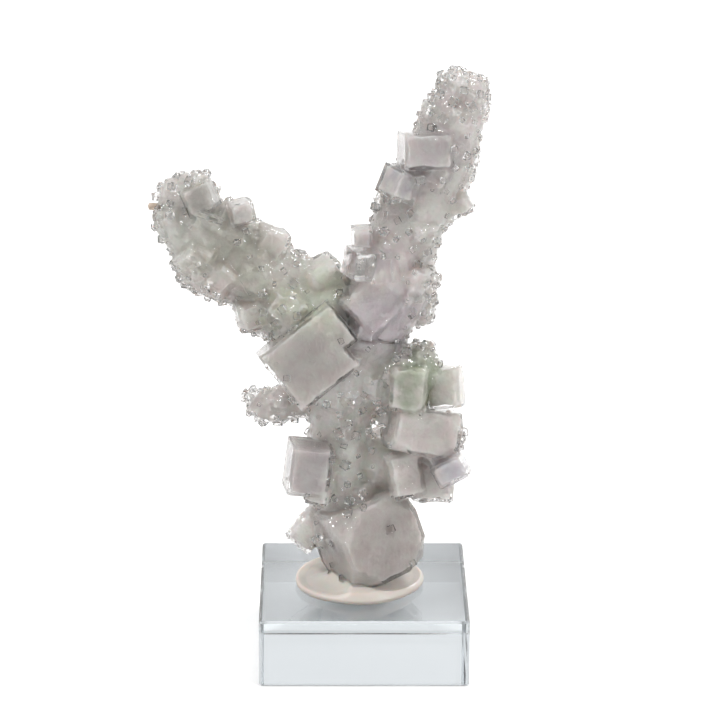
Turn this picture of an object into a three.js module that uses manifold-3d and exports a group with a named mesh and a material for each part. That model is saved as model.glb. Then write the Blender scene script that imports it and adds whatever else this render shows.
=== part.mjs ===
// A druzy, branching apophyllite cluster, stuck with a pad of putty on a clear acrylic block.
// Millimetres, +Z up, +Y away from the display side. The origin is the centre of the block's underside.
import * as THREE from "three";
import { mergeVertices } from "three/addons/utils/BufferGeometryUtils.js";
import Module from "manifold-3d";

const wasm = await Module();
wasm.setup();

// ---- Driving dimensions ----

const GAP = 0.3; // between pieces that touch
const BLOCK = { side: 38.1, height: 12.7, chamfer: 0.8 };
const PAD = { radius: 12.0, edge: 1.2, x: -0.8, y: -0.5, neckRadius: 7.0, neckHeight: 5.0, sides: 30 };

// The branches part round this line, which runs along Y. Each seam's angle is counted from +X towards +Z.
const FORK = { x: -3, z: 63 };
const SEAMS = { right: -14, top: 88, left: 205 };
const REACH = 120; // longer than any piece is from the fork

// A limb's skin is a net of facets of this pitch, and every knot of the net stands proud by up to the crust.
const LIMB = { pitch: 2.6, depth: 0.94, dome: 0.08, crust: 1.7 };
// Soft swellings of a limb: how many go round it and along it, and their height as a share of its radius.
const SWELLINGS = [
  { round: 3, along: 2.7, height: 0.05 },
  { round: 2, along: -4.6, height: 0.05 },
];
const GRAIN = { least: 1.5, spread: 0.8, bury: 0.5 };

// Stations along a limb: x, y, z and the radius of the limb's body there.
// The grains of a limb stand on it along a spiral; grains is how many.
const LIMBS = {
  trunk: {
    stem: {
      grains: 38,
      stations: [
        [-1, -1, 20, 6],
        [-2, -1, 26, 7.2],
        [-3.4, 0, 34, 6.4],
        [-4.4, 0, 42.5, 5.9],
        [-3.2, 0, 51, 6.6],
        [-1, 0, 60, 7.6],
        [0.5, 0, 70, 7.4],
      ],
    },
    side_stub: {
      grains: 12,
      stations: [
        [-7, 2, 48.2, 3],
        [-13, 2, 47.4, 3.5],
        [-16.9, 2, 46.7, 3.6],
        [-20.8, 2, 46.4, 2.6],
      ],
    },
    right_shoulder: {
      grains: 16,
      stations: [
        [0, -1, 53, 5],
        [6, -2, 53.8, 5.8],
        [10.2, -2.5, 55, 5.1],
        [12.8, -2.5, 57.4, 3.4],
      ],
    },
    right_cluster: {
      grains: 10,
      stations: [
        [0, 0, 36, 5],
        [7, -1, 37.4, 5.2],
        [12.4, -1, 40.6, 5.4],
        [16, -1, 43.6, 3.4],
      ],
    },
  },
  left_branch: {
    arm: {
      grains: 42,
      stations: [
        [3, 0, 60.2, 7],
        [-4, 0, 63.6, 7.5],
        [-11.4, 0, 66.6, 8.4],
        [-18.4, 0, 71.8, 7.5],
        [-24.8, 0, 76.3, 7.9],
        [-30, 0, 81, 7.4],
        [-32, 0, 86, 5.3],
        [-32.8, 0, 90.8, 3.6],
      ],
    },
  },
  right_branch: {
    arm: {
      grains: 48,
      stations: [
        [-1, 0, 57, 7.2],
        [2.8, 0, 67, 7.6],
        [6.2, 0, 77, 6.6],
        [10.2, 0, 87.4, 6.3],
        [13.8, 0, 97, 6],
        [16.8, 0, 104.4, 4.7],
        [17.4, 0, 109.6, 3.6],
      ],
    },
    side_ridge: {
      grains: 16,
      stations: [
        [10, 1.5, 62, 3],
        [10, 2, 70.6, 3.1],
        [10.2, 2, 78, 2.6],
        [14, 2, 84.4, 2.9],
        [17, 2, 92, 3],
        [18.4, 1, 99, 2.6],
      ],
    },
  },
};

// The larger crystals: centre, size along their own x, y and z, and the angles that place them:
// roll about y, then lean about x, then turn about z. corner is the share of each edge that the cut corners take.
const CRYSTALS = {
  trunk: {
    great: { at: [-10.2, -8.5, 59.2], size: [13.4, 8.5, 12.6], tilt: [-37, -12, 6], corner: 0.26 },
    great_side: { at: [-7.4, -7.3, 63.6], size: [8.6, 8, 8.6], tilt: [-37, -12, 6], corner: 0.1 },
    low_left: { at: [-10.2, -6.7, 37.9], size: [7.6, 7, 9.2], tilt: [8, -2, 9], corner: 0.12 },
    low_left_small: { at: [-8.2, -7.4, 33], size: [4.2, 4.4, 3.5], tilt: [12, -6, -10], corner: 0.1 },
    green_table: { at: [8.1, -5.8, 53], size: [6.6, 6, 8.2], tilt: [4, -6, -6], corner: 0.35 },
    clear_table: { at: [14.7, -3.5, 52], size: [6.2, 4, 7], tilt: [6, -12, -10], corner: 0.45 },
    pale_slab: { at: [10.9, -4.1, 44], size: [12.2, 9, 7.8], tilt: [5, -12, 12], corner: 0.2 },
    blue: { at: [15.6, -6.9, 37.5], size: [6.2, 5, 4.4], tilt: [-29, -6, -4], corner: 0.2 },
    low_right: { at: [12.4, -3.3, 34.1], size: [7.4, 7, 6.8], tilt: [4, -8, 4], corner: 0.12 },
    pink: { at: [7.2, -5.5, 35.9], size: [5.8, 6, 7.8], tilt: [2, -10, 6], corner: 0.1 },
    base_core: { at: [0.9, -3.3, 23.1], size: [15.8, 13, 15.2], tilt: [-15, -12, 27], corner: 0.66 },
    base_rear: { at: [-1, 4, 22.4], size: [12, 8, 11], tilt: [14, 8, -20], corner: 0.1 },
    base_pale: { at: [-9.9, 1, 22.8], size: [5.6, 5, 6.8], tilt: [38, -2, -8], corner: 0.2 },
    rear: { at: [-5.4, 5.6, 52], size: [8.2, 7, 8.6], tilt: [28, 10, 14], corner: 0.1 },
    rear_low: { at: [4.6, 5.4, 36.4], size: [8.6, 7.4, 7.4], tilt: [-16, 12, 28], corner: 0.1 },
  },
  left_branch: {
    tip_face: { at: [-28.3, -6.8, 88.7], size: [3.8, 3.4, 4], tilt: [-26, -8, -16], corner: 0.1 },
    ledge: { at: [-27.3, -6.5, 85.1], size: [4.4, 3, 1], tilt: [20, -6, 0], corner: 0.1 },
    top: { at: [-22.3, -3.2, 85], size: [4.6, 5, 4.2], tilt: [-10, -8, 14], corner: 0.3 },
    top_step: { at: [-16.8, -2, 79.2], size: [5.4, 5, 5], tilt: [24, 0, 12], corner: 0.1 },
    window: { at: [-19.8, -6.6, 73.4], size: [4, 4, 4], tilt: [-30, -9, -2], corner: 0.1 },
    low: { at: [-20.4, -3.6, 66.4], size: [5.4, 6, 5.2], tilt: [-12, 4, 12], corner: 0.24 },
    root: { at: [-7.4, -1, 72.2], size: [6.4, 7, 6], tilt: [-24, 0, 18], corner: 0.2 },
    rear: { at: [-18, 5.2, 74.8], size: [7.6, 6.4, 7], tilt: [20, 8, 12], corner: 0.1 },
    rear_tip: { at: [-29.4, 4.6, 82], size: [5.6, 5.4, 5.4], tilt: [-14, 10, -16], corner: 0.1 },
  },
  right_branch: {
    clear: { at: [5.2, -2.1, 90.5], size: [4.8, 5, 5.4], tilt: [23, 4, 32], corner: 0.04 },
    striated: { at: [10.6, -3.5, 96.5], size: [8.9, 8, 6.6], tilt: [2, -12, 10], corner: 0.2 },
    fork_block: { at: [-0.8, -2.2, 79.8], size: [3.4, 4.6, 4.2], tilt: [-2, -4, 2], corner: 0.1 },
    fork_gem: { at: [-0.7, -5.2, 77], size: [4.8, 5, 4.8], tilt: [8, 2, 14], corner: 0.2 },
    lilac_gem: { at: [3.4, -6, 75.7], size: [3.6, 4.6, 4], tilt: [-12, -14, -14], corner: 0.1 },
    lilac_root: { at: [0.8, -4.6, 68], size: [9.4, 8, 10], tilt: [-42, -8, 16], corner: 0.2 },
    edge_table: { at: [16.7, 0.2, 85.4], size: [4.4, 4.4, 3.6], tilt: [-24, 0, 0], corner: 0.1 },
    rear: { at: [7.2, 5, 80.4], size: [7.6, 6.4, 7.2], tilt: [22, 8, -18], corner: 0.1 },
    rear_high: { at: [14.2, 4, 98.6], size: [6, 5.6, 6.4], tilt: [-18, 8, 14], corner: 0.1 },
  },
};

// A tiny brown rod of host rock that pokes out of the left branch's tip.
const PEG = { from: [-34.5, 0, 85.4], to: [-38.2, -0.2, 85.5], radius: 0.75, sides: 8 };

const FINISH = {
  acrylic_block: { color: 0xeef3f5, roughness: 0.05, opacity: 0.35 },
  mounting_putty: { color: 0xece0d2, roughness: 0.35 },
  trunk: { color: 0xa9a39f, roughness: 0.35 },
  left_branch: { color: 0xa8aca2, roughness: 0.35 },
  right_branch: { color: 0xaca5a6, roughness: 0.35 },
};

// ---- Solids ----

const GOLDEN_ANGLE = Math.PI * (3 - Math.sqrt(5));
const Y_AXIS = new THREE.Vector3(0, 1, 0);

function solidOf(geometry) {
  const bare = geometry.clone();
  bare.deleteAttribute("normal");
  bare.deleteAttribute("uv");
  const merged = mergeVertices(bare, 1e-3);
  return new wasm.Manifold(
    new wasm.Mesh({
      numProp: 3,
      vertProperties: merged.attributes.position.array,
      triVerts: new Uint32Array(merged.index.array),
    }),
  );
}

function geometryOf(solid) {
  const { vertProperties, triVerts } = solid.getMesh();
  return new THREE.BufferGeometry()
    .setAttribute("position", new THREE.BufferAttribute(vertProperties, 3))
    .setIndex(new THREE.BufferAttribute(triVerts, 1));
}

function union(solids) {
  return solids.reduce((whole, next) => whole.add(next));
}

// The largest body of a solid: crumbs that a cut leaves behind fall away.
function largestBody(solid) {
  return solid.decompose().reduce((best, body) => (body.volume() > best.volume() ? body : best));
}

// A repeatable stream of numbers from 0 to 1.
function randomStream(seed) {
  let state = seed;
  return () => {
    state = (state * 1664525 + 1013904223) % 4294967296;
    return state / 4294967296;
  };
}

function radians(degrees) {
  return THREE.MathUtils.degToRad(degrees);
}

// ---- Crystals ----

// A pseudo-cubic crystal: a square prism whose eight corners are cut by an octahedron's faces.
function crystal({ at, size, tilt, corner }, grow) {
  const [a, b, c] = size.map((edge) => edge + 2 * grow);
  const [roll, lean, turn] = tilt.map(radians);
  const place = new THREE.Matrix4().makeRotationFromEuler(new THREE.Euler(lean, roll, turn, "ZXY"));
  place.setPosition(...at);
  const prism = solidOf(new THREE.BoxGeometry(a, b, c).applyMatrix4(place));
  const reach = (3 - corner) / 2;
  const cuts = new THREE.OctahedronGeometry(1).scale(a * reach, b * reach, c * reach).applyMatrix4(place);
  return prism.intersect(solidOf(cuts));
}

// ---- Limbs ----

// The centre line and radius of a limb, both as functions of t from 0 to 1.
function courseOf(stations) {
  const line = new THREE.CatmullRomCurve3(stations.map(([x, y, z]) => new THREE.Vector3(x, y, z)));
  const radii = new THREE.SplineCurve(
    stations.map(([, , , radius], i) => new THREE.Vector2(i / (stations.length - 1), radius)),
  );
  const tangent = (t) => line.getTangent(t);
  return {
    length: line.getLength(),
    centre: (t) => line.getPoint(t),
    radius: (t) => radii.getPoint(t).y,
    // The direction away from the centre line at an angle round it.
    outward: (t, angle) =>
      Y_AXIS.clone()
        .multiplyScalar(Math.sin(angle) * LIMB.depth)
        .addScaledVector(new THREE.Vector3().crossVectors(tangent(t), Y_AXIS).normalize(), Math.cos(angle)),
  };
}

// How far the limb's skin is from its centre line: it swells in soft lumps and closes in a dome at each end.
function skinRadius(course, t, angle) {
  const end = Math.min(t, 1 - t) / LIMB.dome;
  const dome = end < 1 ? Math.sqrt(1 - (1 - end) ** 2) : 1;
  const swelling = SWELLINGS.reduce(
    (sum, { round, along, height }) => sum + height * Math.sin(round * angle + 2 * Math.PI * along * t),
    0,
  );
  return course.radius(t) * dome * (1 + swelling);
}

// A limb's body: a lathed rod bent along the limb's course, its skin knobbly with crust.
function body(course, random) {
  const rings = Math.round(course.length / LIMB.pitch);
  const sides = Math.round((2 * Math.PI * course.radius(0.5)) / LIMB.pitch);
  const profile = [];
  for (let ring = 0; ring <= rings; ring++) {
    const isEnd = ring === 0 || ring === rings;
    profile.push(new THREE.Vector2(isEnd ? 0 : 1, ring / rings));
  }
  const knobs = Array.from({ length: sides * profile.length }, () => (random() - 0.5) * LIMB.crust);
  const rod = new THREE.LatheGeometry(profile, sides);
  const points = rod.attributes.position;
  for (let i = 0; i < points.count; i++) {
    const t = points.getY(i);
    const angle = Math.atan2(points.getZ(i), points.getX(i));
    const knob = knobs[i % knobs.length];
    const radius = Math.hypot(points.getX(i), points.getZ(i)) * (skinRadius(course, t, angle) + knob);
    const bent = course.centre(t).addScaledVector(course.outward(t, angle), radius);
    points.setXYZ(i, bent.x, bent.y, bent.z);
  }
  return solidOf(rod);
}

// Small crystals that crust a limb: tilted little octahedra on an even spiral round it.
function grainsOn(course, count, random) {
  const grains = [];
  for (let i = 0; i < count; i++) {
    const t = (i + 0.5) / count;
    const angle = i * GOLDEN_ANGLE;
    const radius = GRAIN.least + GRAIN.spread * random();
    const place = new THREE.Matrix4().makeRotationFromEuler(
      new THREE.Euler(Math.PI * random(), Math.PI * random(), Math.PI * random()),
    );
    const height = skinRadius(course, t, angle) - GRAIN.bury * radius;
    place.setPosition(course.centre(t).addScaledVector(course.outward(t, angle), height));
    grains.push(solidOf(new THREE.OctahedronGeometry(radius).applyMatrix4(place)));
  }
  return grains;
}

function limb({ stations, grains }, random) {
  const course = courseOf(stations);
  return union([body(course, random), ...grainsOn(course, grains, random)]);
}

// The sector round the fork between two seams, drawn back from both by half the gap.
function sector(fromDegrees, toDegrees) {
  const middle = radians((fromDegrees + toDegrees) / 2);
  const half = radians(toDegrees - fromDegrees) / 2;
  const drawBack = GAP / 2 / Math.sin(half);
  const apex = new THREE.Vector2(
    FORK.x + drawBack * Math.cos(middle),
    FORK.z + drawBack * Math.sin(middle),
  );
  const outline = [apex];
  for (const share of [-1, -0.5, 0, 0.5, 1]) {
    const angle = middle + share * half;
    outline.push(new THREE.Vector2(Math.cos(angle), Math.sin(angle)).multiplyScalar(REACH).add(apex));
  }
  const slab = new THREE.ExtrudeGeometry(new THREE.Shape(outline), { depth: REACH, bevelEnabled: false });
  // The shape's plane is X and Z of the part, and its depth runs along -Y.
  slab.rotateX(Math.PI / 2).translate(0, REACH / 2, 0);
  return solidOf(slab);
}

const SECTORS = {
  trunk: sector(SEAMS.left, SEAMS.right + 360),
  left_branch: sector(SEAMS.top, SEAMS.left),
  right_branch: sector(SEAMS.right, SEAMS.top),
};

function peg({ from, to, radius, sides }) {
  const start = new THREE.Vector3(...from);
  const along = new THREE.Vector3(...to).sub(start);
  const rod = new THREE.CylinderGeometry(radius, radius, along.length(), sides)
    .applyQuaternion(new THREE.Quaternion().setFromUnitVectors(Y_AXIS, along.clone().normalize()))
    .translate(...start.addScaledVector(along, 0.5).toArray());
  return solidOf(rod);
}

// ---- Pieces ----

// Where crystals of two branches meet, those of the branch named first stay whole.
const BRANCHES = ["trunk", "right_branch", "left_branch"];

function crystalsOf(branches, grow) {
  return branches.flatMap((branch) => Object.values(CRYSTALS[branch]).map((shape) => crystal(shape, grow)));
}

// One branch: its crusted limbs within its sector, then its larger crystals, clear of the other branches'.
function branch(name, additions = []) {
  const rank = BRANCHES.indexOf(name);
  const random = randomStream(rank + 1);
  const others = BRANCHES.filter((other) => other !== name);
  const limbs = union(Object.values(LIMBS[name]).map((shape) => limb(shape, random)));
  const crust = limbs.intersect(SECTORS[name]).subtract(union(crystalsOf(others, GAP)));
  const crystals = union(crystalsOf([name], 0));
  const ahead = crystalsOf(BRANCHES.slice(0, rank), GAP);
  const whole = union([crust, ...additions, ahead.length ? crystals.subtract(union(ahead)) : crystals]);
  return largestBody(whole);
}

function acrylicBlock() {
  const { side, height, chamfer } = BLOCK;
  const half = side / 2 - chamfer;
  const cut = half - chamfer;
  const outline = new THREE.Shape(
    [
      [half, -cut],
      [half, cut],
      [cut, half],
      [-cut, half],
      [-half, cut],
      [-half, -cut],
      [-cut, -half],
      [cut, -half],
    ].map(([x, y]) => new THREE.Vector2(x, y)),
  );
  const block = new THREE.ExtrudeGeometry(outline, {
    depth: height - 2 * chamfer,
    bevelSize: chamfer,
    bevelThickness: chamfer,
    bevelSegments: 1,
  });
  return solidOf(block.translate(0, 0, chamfer));
}

// A lens of putty whose middle climbs the base crystals, hollowed where they sit in it.
function mountingPutty() {
  const { radius, edge, x, y, neckRadius, neckHeight } = PAD;
  const profile = [
    [0, 0],
    [radius - 2.4 * edge, 0],
    [radius - 0.5 * edge, 0.3 * edge],
    [radius, 0.9 * edge],
    [radius - 0.4 * edge, 1.4 * edge],
    [radius - 2.0 * edge, 1.5 * edge],
    [neckRadius + 1.0, 0.5 * neckHeight],
    [neckRadius, neckHeight],
    [0, neckHeight],
  ].map(([r, z]) => new THREE.Vector2(r, z));
  const lens = new THREE.LatheGeometry(profile, PAD.sides).rotateX(Math.PI / 2);
  lens.translate(x, y, BLOCK.height + GAP);
  return largestBody(solidOf(lens).subtract(union(crystalsOf(["trunk"], GAP))));
}

const PIECES = {
  acrylic_block: acrylicBlock(),
  mounting_putty: mountingPutty(),
  trunk: branch("trunk"),
  left_branch: branch("left_branch", [peg(PEG)]),
  right_branch: branch("right_branch"),
};

const cluster = new THREE.Group();
for (const [name, solid] of Object.entries(PIECES)) {
  const { color, roughness, opacity = 1 } = FINISH[name];
  const material = new THREE.MeshStandardMaterial({
    color,
    roughness,
    metalness: 0,
    opacity,
    transparent: opacity < 1,
  });
  const mesh = new THREE.Mesh(geometryOf(solid), material);
  mesh.name = name;
  cluster.add(mesh);
}

export default cluster;
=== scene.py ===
"""A druzy, branching apophyllite cluster, stuck with a pad of putty on a clear acrylic block.

Sizes are written in millimetres and times MM in metres. +Z is up, and the display side faces -Y.
"""

import math
import random
from typing import NamedTuple

import bmesh
import bpy
import numpy as np
from mathutils import Euler, Matrix, Quaternion, Vector, noise
from mathutils.bvhtree import BVHTree


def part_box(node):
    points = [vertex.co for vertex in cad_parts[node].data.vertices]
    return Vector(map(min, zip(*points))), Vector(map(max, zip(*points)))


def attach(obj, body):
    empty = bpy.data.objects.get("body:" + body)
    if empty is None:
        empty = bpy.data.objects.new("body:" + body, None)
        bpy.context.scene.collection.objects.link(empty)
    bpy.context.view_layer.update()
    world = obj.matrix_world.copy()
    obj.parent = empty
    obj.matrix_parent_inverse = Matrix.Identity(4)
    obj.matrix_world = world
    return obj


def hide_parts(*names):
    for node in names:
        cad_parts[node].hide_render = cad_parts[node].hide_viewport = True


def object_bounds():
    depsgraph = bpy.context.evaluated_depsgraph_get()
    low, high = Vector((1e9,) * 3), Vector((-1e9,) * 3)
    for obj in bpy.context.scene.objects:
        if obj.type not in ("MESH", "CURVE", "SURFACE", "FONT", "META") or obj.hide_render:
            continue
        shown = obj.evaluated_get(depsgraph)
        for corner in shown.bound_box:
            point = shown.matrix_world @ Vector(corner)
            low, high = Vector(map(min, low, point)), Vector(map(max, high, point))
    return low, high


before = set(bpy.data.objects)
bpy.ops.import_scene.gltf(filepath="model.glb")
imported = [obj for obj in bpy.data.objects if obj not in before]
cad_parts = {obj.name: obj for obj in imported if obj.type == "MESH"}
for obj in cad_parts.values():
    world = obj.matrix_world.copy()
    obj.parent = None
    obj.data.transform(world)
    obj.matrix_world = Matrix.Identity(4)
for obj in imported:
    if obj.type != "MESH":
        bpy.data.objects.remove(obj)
CAD_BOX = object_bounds()
MM = 0.001

# ---- Camera and studio ----

CAMERA = {
    "at": (-6.6, -593.9, 262.1), "down": 19.13, "right": 0.56, "roll": 0.23, "lens": 173.3, "sensor": 36,
}
FLOOR_RADIUS, FLOOR_SIDES = 4.0, 96
FLOOR_DROP = 0.05 * MM  # the floor lies just clear of the block's underside

# Brightness of the white dome, straight overhead, low behind the cluster and low on the display side.
DOME = {"overhead": 1.3, "behind": 1.0, "display_side": 0.4}
# Where the dome turns from the one to the other: along Y, and in height.
DOME_TURN = {"display_side": -0.9, "behind": 0.7, "low": 0.25, "overhead": 0.95}
# Softboxes: the direction they stand in, their distance and diameter in metres, and their power in watts.
SOFTBOXES = {
    "key": {"towards": (-0.62, -0.55, 0.9), "distance": 0.8, "diameter": 0.13, "power": 2.4},
    "rim": {"towards": (0.5, 0.8, 0.75), "distance": 0.8, "diameter": 0.15, "power": 2.4},
    "fill": {"towards": (0.85, -0.6, 0.62), "distance": 0.8, "diameter": 0.14, "power": 1.8},
}


def add_camera():
    camera = bpy.data.objects.new("camera", bpy.data.cameras.new("camera"))
    bpy.context.scene.collection.objects.link(camera)
    down, right = math.radians(CAMERA["down"]), math.radians(CAMERA["right"])
    ahead = Vector((math.sin(right) * math.cos(down), math.cos(right) * math.cos(down), -math.sin(down)))
    roll = Quaternion((0, 0, 1), math.radians(CAMERA["roll"]))
    camera.location = Vector(CAMERA["at"]) * MM
    camera.rotation_mode = "QUATERNION"
    camera.rotation_quaternion = ahead.to_track_quat("-Z", "Y") @ roll
    camera.data.lens = CAMERA["lens"]
    camera.data.sensor_width = CAMERA["sensor"]
    bpy.context.scene.camera = camera


# ---- Node trees ----

SOCKET_KINDS = {
    "geometry": "NodeSocketGeometry",
    "object": "NodeSocketObject",
    "material": "NodeSocketMaterial",
    "text": "NodeSocketString",
    "value": "NodeSocketFloat",
    "vector": "NodeSocketVector",
    "colour": "NodeSocketColor",
}


def first_output(node):
    return next(socket for socket in node.outputs if socket.enabled)


class Nodes:
    """A node tree under construction, with short ways to add nodes and feed their sockets."""

    def __init__(self, tree):
        self.tree = tree

    def node(self, kind, inputs=None, **settings):
        """A new node; inputs are keyed by the socket's name or number."""
        made = self.tree.nodes.new(kind)
        for setting, value in settings.items():
            setattr(made, setting, value)
        for key, value in (inputs or {}).items():
            sockets = [s for number, s in enumerate(made.inputs) if s.enabled and key in (s.name, number)]
            self.feed(sockets[0], value)
        return made

    def feed(self, socket, value):
        if isinstance(value, bpy.types.NodeSocket):
            self.tree.links.new(value, socket)
        elif socket.type == "RGBA":
            socket.default_value = (*value, 1)
        else:
            socket.default_value = value

    def math(self, operation, *values):
        return self.node("ShaderNodeMath", dict(enumerate(values)), operation=operation).outputs[0]

    def vector_math(self, operation, *values):
        return self.node("ShaderNodeVectorMath", dict(enumerate(values)), operation=operation).outputs[0]

    def scaled(self, vector, scale):
        return self.node("ShaderNodeVectorMath", {0: vector, "Scale": scale}, operation="SCALE").outputs[0]

    def random(self, low, high, seed):
        """A random number between two numbers, or a random vector between two vectors."""
        kind = "FLOAT_VECTOR" if isinstance(low, tuple) else "FLOAT"
        inputs = {"Min": low, "Max": high, "Seed": seed}
        return first_output(self.node("FunctionNodeRandomValue", inputs, data_type=kind))

    def attribute(self, name):
        return first_output(self.node("GeometryNodeInputNamedAttribute", {"Name": name}, data_type="FLOAT"))

    def noise(self, vector, scale, detail=2.0, roughness=0.5):
        inputs = {"Vector": vector, "Scale": scale, "Detail": detail, "Roughness": roughness}
        return self.node("ShaderNodeTexNoise", inputs).outputs["Fac"]

    def spread(self, value, low, high, to_low=0.0, to_high=1.0):
        inputs = {"Value": value, "From Min": low, "From Max": high, "To Min": to_low, "To Max": to_high}
        return self.node("ShaderNodeMapRange", inputs, interpolation_type="SMOOTHSTEP").outputs["Result"]

    def mix(self, share, a, b, blend="MIX"):
        inputs = {"Factor": share, "A": a, "B": b}
        return first_output(self.node("ShaderNodeMix", inputs, data_type="RGBA", blend_type=blend))


def new_group(kind, name, inputs, outputs):
    """An empty node group, its tree's nodes, and the sockets of its input and output nodes."""
    group = bpy.data.node_groups.new(name, kind)
    for direction, sockets in (("INPUT", inputs), ("OUTPUT", outputs)):
        for socket, socket_kind in sockets.items():
            group.interface.new_socket(name=socket, in_out=direction, socket_type=SOCKET_KINDS[socket_kind])
    nodes = Nodes(group)
    return group, nodes, nodes.node("NodeGroupInput").outputs, nodes.node("NodeGroupOutput").inputs


# ---- Light ----


def add_dome():
    """A soft white dome, brightest overhead and dimmest low on the display side."""
    world = bpy.data.worlds.new("dome")
    bpy.context.scene.world = world
    world.use_nodes = True
    nodes = Nodes(world.node_tree)
    direction = nodes.node("ShaderNodeTexCoord").outputs["Generated"]
    along_y, height = nodes.node("ShaderNodeSeparateXYZ", {0: direction}).outputs[1:3]
    turn = DOME_TURN
    low = nodes.spread(along_y, turn["display_side"], turn["behind"], DOME["display_side"], DOME["behind"])
    lift = nodes.spread(height, turn["low"], turn["overhead"])
    brightness = nodes.node("ShaderNodeMix", {"Factor": lift, "A": low, "B": DOME["overhead"]})
    background = world.node_tree.nodes["Background"]
    nodes.feed(background.inputs["Strength"], first_output(brightness))
    nodes.feed(background.inputs["Color"], (1.0, 1.0, 1.0))


def add_softboxes():
    middle = (CAD_BOX[0] + CAD_BOX[1]) / 2
    for name, box in SOFTBOXES.items():
        light = bpy.data.lights.new(name, "AREA")
        light.shape = "DISK"
        light.size = box["diameter"]
        light.energy = box["power"]
        lamp = bpy.data.objects.new(name, light)
        towards = Vector(box["towards"]).normalized()
        lamp.location = middle + towards * box["distance"]
        lamp.rotation_euler = towards.to_track_quat("Z", "Y").to_euler()
        bpy.context.scene.collection.objects.link(lamp)


# ---- Meshes ----


def metres(point):
    return Vector(point) * MM


def place_object(name, mesh):
    piece = bpy.data.objects.new(name, mesh)
    bpy.context.scene.collection.objects.link(piece)
    return piece


def mesh_of(bm, name):
    mesh = bpy.data.meshes.new(name)
    bm.to_mesh(mesh)
    bm.free()
    return mesh


def join_rings(bm, rings):
    """Bands of faces between rings of corners, each with the next."""
    for ring, following in zip(rings, rings[1:]):
        for i, corner in enumerate(ring):
            j = (i + 1) % len(ring)
            bm.faces.new((corner, ring[j], following[j], following[i]))


def fan(bm, ring, tip):
    """Faces from a ring of corners to a tip."""
    pole = bm.verts.new(tip)
    for i, corner in enumerate(ring):
        bm.faces.new((corner, ring[(i + 1) % len(ring)], pole))


def applied(piece):
    """The mesh of an object with its modifiers applied; the object itself is removed."""
    evaluated = piece.evaluated_get(bpy.context.evaluated_depsgraph_get())
    mesh = bpy.data.meshes.new_from_object(evaluated)
    bpy.data.objects.remove(piece)
    return mesh


def fused(piece, voxel):
    """The mesh of an object whose overlapping parts are grown together, to a detail in millimetres."""
    fuse = piece.modifiers.new("fuse", "REMESH")
    fuse.mode = "VOXEL"
    fuse.voxel_size = voxel * MM
    fuse.use_smooth_shade = True
    return applied(piece)


def points_of(mesh):
    points = np.zeros(len(mesh.vertices) * 3, np.float32)
    mesh.vertices.foreach_get("co", points)
    return points.reshape(-1, 3)


# ---- Limbs ----

# Stations along each limb: x, y, z and the radius there.
LIMBS = {
    "stem": [
        (-1, -1, 20, 6), (-2, -1, 26, 7.2), (-3.4, 0, 34, 6.4), (-4.4, 0, 42.5, 5.9),
        (-3.2, 0, 51, 6.6), (-1, 0, 60, 7.6), (0.5, 0, 70, 7.4),
    ],
    "side_stub": [(-7, 2, 48.2, 3), (-13, 2, 47.4, 3.5), (-16.9, 2, 46.7, 3.6), (-20.8, 2, 46.4, 2.6)],
    "right_shoulder": [(0, -1, 53, 5), (6, -2, 53.8, 5.8), (10.2, -2.5, 55, 5.1), (12.8, -2.5, 57.4, 3.4)],
    "right_cluster": [(0, 0, 36, 5), (7, -1, 37.4, 5.2), (12.4, -1, 40.6, 5.4), (16, -1, 43.6, 3.4)],
    "left_arm": [
        (3, 0, 60.2, 7), (-4, 0, 63.6, 7.5), (-11.4, 0, 66.6, 8.4), (-18.4, 0, 71.8, 7.5),
        (-24.8, 0, 76.3, 7.9), (-30, 0, 81, 7.4), (-32, 0, 86, 5.3), (-32.8, 0, 90.8, 3.6),
    ],
    "right_arm": [
        (-1, 0, 57, 7.2), (2.8, 0, 67, 7.6), (6.2, 0, 77, 6.6), (10.2, 0, 87.4, 6.3),
        (13.8, 0, 97, 6), (16.8, 0, 104.4, 4.7), (17.4, 0, 109.6, 3.6),
    ],
    "side_ridge": [
        (10, 1.5, 62, 3), (10, 2, 70.6, 3.1), (10.2, 2, 78, 2.6), (14, 2, 84.4, 2.9),
        (17, 2, 92, 3), (18.4, 1, 99, 2.6),
    ],
}
LIMB_DEPTH = 0.94  # a limb is this much as deep as it is wide
DOME_SHARE = 0.08  # of a limb's length is the domed end
HEADING_STEP = 0.01  # the share of a limb's length to each side that its direction is taken over
# Soft swellings: how many go round a limb and along it, and their height as a share of its radius.
SWELLINGS = [(3, 2.7, 0.05), (2, -4.6, 0.05)]
ROD_PITCH = 0.9
ROD_SHARE = 0.93  # a bare rod is this much as thick as its limb, and the blocks on it make up the rest
# Blocky crystals grown half out of the limbs: how many for each millimetre of limb, their size as a share
# of its radius, how far they stand out of it, how far they are turned out of line with it in degrees, and
# the stretch of it that they grow on.
BLOCKS = {
    "number": 1.1, "size": (0.45, 0.85), "proud": (-0.5, 0.7), "stray": 16, "stretch": (0.05, 0.97),
}
FUSING_VOXEL = 0.3
# Round lumps on the fused limbs: the distance between them, their radius as a share of it, their height, the
# share of it that is sunk in the skin, and the fine roughness over them.
LUMPS = {"apart": 2.3, "radius": 0.85, "height": 0.3, "sunk": 0.6, "fine_size": 0.9, "fine_height": 0.12}

# The branches part round this line, which runs along Y. Angles are counted from +X towards +Z.
FORK = Vector((-3, 0, 63)) * MM
SECTORS = {"trunk": (205, 346), "left_branch": (88, 205), "right_branch": (-14, 88)}
SECTOR_REACH = 0.3


def along(stations, share):
    """The station at a share of the way along a limb, on the smooth curve through its stations."""
    last = len(stations) - 1
    first = min(int(share * last), last - 1)
    u = share * last - first
    a, b, c, d = (Vector(stations[min(max(first + k, 0), last)]) for k in (-1, 0, 1, 2))
    return 0.5 * (2 * b + (c - a) * u + (2 * a - 5 * b + 4 * c - d) * u**2 + (3 * b - a - 3 * c + d) * u**3)


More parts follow.
